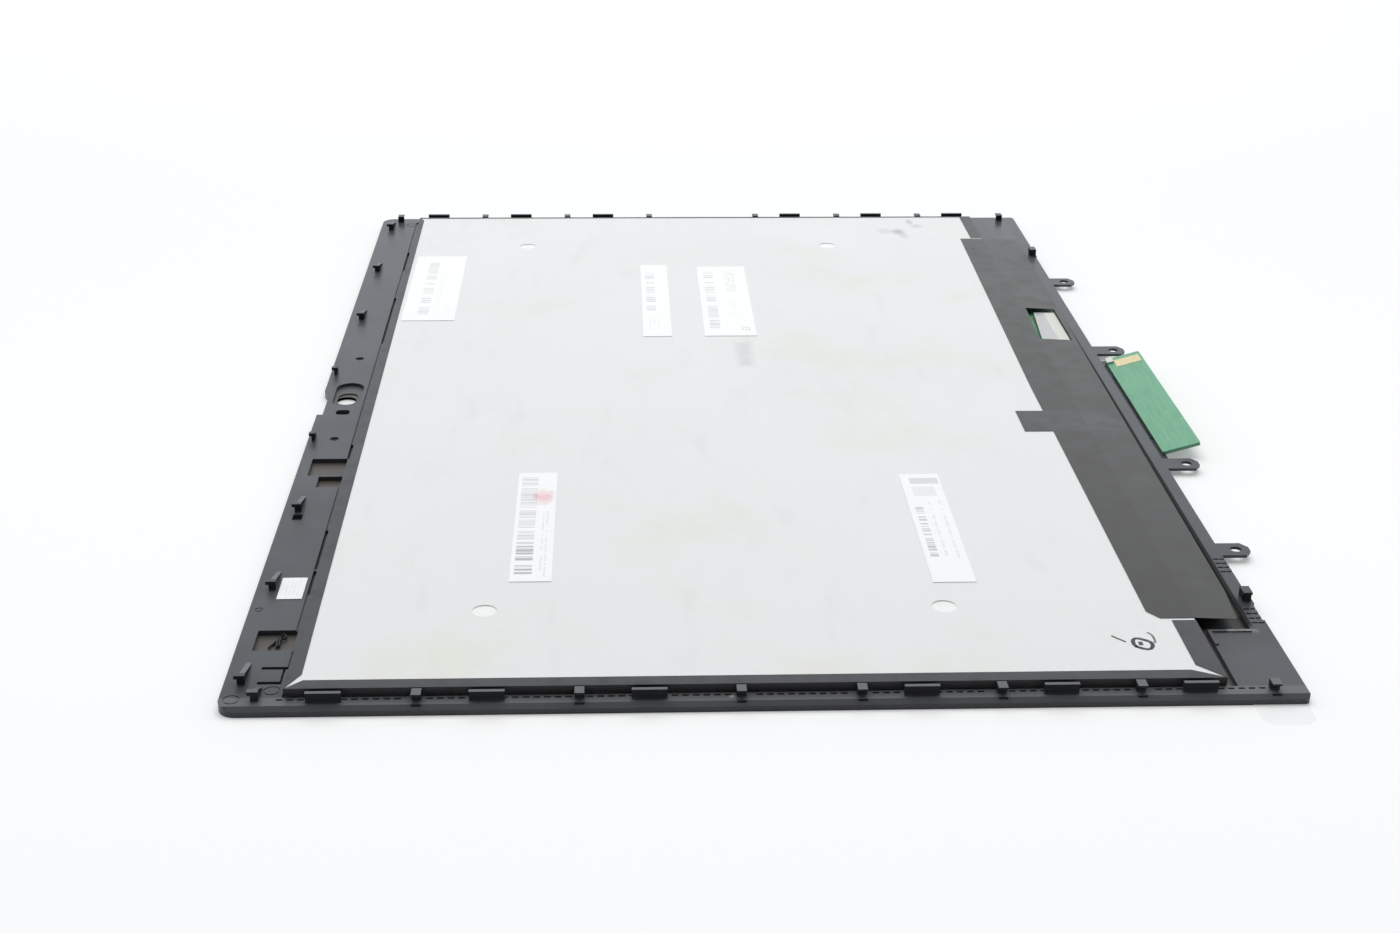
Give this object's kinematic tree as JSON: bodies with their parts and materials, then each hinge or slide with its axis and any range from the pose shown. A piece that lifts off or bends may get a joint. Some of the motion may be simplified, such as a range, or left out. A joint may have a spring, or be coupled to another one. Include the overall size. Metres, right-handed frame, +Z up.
{
  "type": "laptop touchscreen",
  "caption": "Bonded laptop touchscreen: cover glass and moulded bezel frame around a metal-backed LCD module, with driver board, touch board, snap clips and screw tabs.",
  "frame": {"origin": "centre of the front face, which lies on the table", "axes": "+X along the long side, +Y towards the camera strip, +Z up out of the back"},
  "size_m": [0.3194, 0.216, 0.0043],
  "materials": {
    "bezel_plastic": "satin",
    "plate_metal": "satin",
    "printed_glass": "gloss",
    "clear_film": "gloss",
    "cell_glass": "gloss",
    "clear_adhesive": "gloss",
    "polarizer": "gloss",
    "optical_sheet": "satin",
    "guide_acrylic": "gloss",
    "reflector_white": "satin",
    "frame_plastic": "satin",
    "black_tape": "satin",
    "cover_film": "satin",
    "board_green": "satin",
    "flex_amber": "satin",
    "flex_black": "satin",
    "chip_black": "matte",
    "ferrite_grey": "matte",
    "capacitor_tan": "matte",
    "connector_white": "satin",
    "shell_metal": "satin",
    "gold_pad": "satin",
    "lamp_white": "satin",
    "label_paper": "matte"
  },
  "bodies": {
    "root": {"front_film": "clear_film", "cover_glass": "printed_glass", "bezel_frame": "bezel_plastic", "bezel_bond_tape": "black_tape", "optical_bond": "clear_adhesive", "front_polarizer": "polarizer", "colour_filter_glass": "cell_glass", "tft_glass": "cell_glass", "rear_polarizer": "polarizer", "prism_sheet_outer": "optical_sheet", "prism_sheet_inner": "optical_sheet", "diffuser_sheet": "optical_sheet", "light_guide": "guide_acrylic", "reflector_sheet": "reflector_white", "led_bar": "lamp_white", "panel_frame": "frame_plastic", "back_plate": "plate_metal", "camera_edge_tape": "black_tape", "near_edge_tape": "black_tape", "far_edge_tape": "black_tape", "lower_near_tape": "black_tape", "lower_far_tape": "black_tape", "driver_board_tape": "clear_adhesive", "driver_board": "board_green", "column_flex_1": "flex_amber", "column_flex_2": "flex_amber", "column_flex_3": "flex_amber", "column_flex_4": "flex_amber", "timing_controller": "chip_black", "power_inductor": "ferrite_grey", "capacitors": "capacitor_tan", "display_connector": "connector_white", "connector_shell": "shell_metal", "board_cover_film": "cover_film", "touch_board": "board_green", "ground_pad": "gold_pad", "touch_connector": "connector_white", "touch_controller": "chip_black", "touch_flex": "flex_black", "corner_label": "label_paper", "upper_label": "label_paper", "lower_label": "label_paper", "stamp_label": "label_paper", "code_label": "label_paper", "bezel_label": "label_paper"}
  },
  "joints": []
}
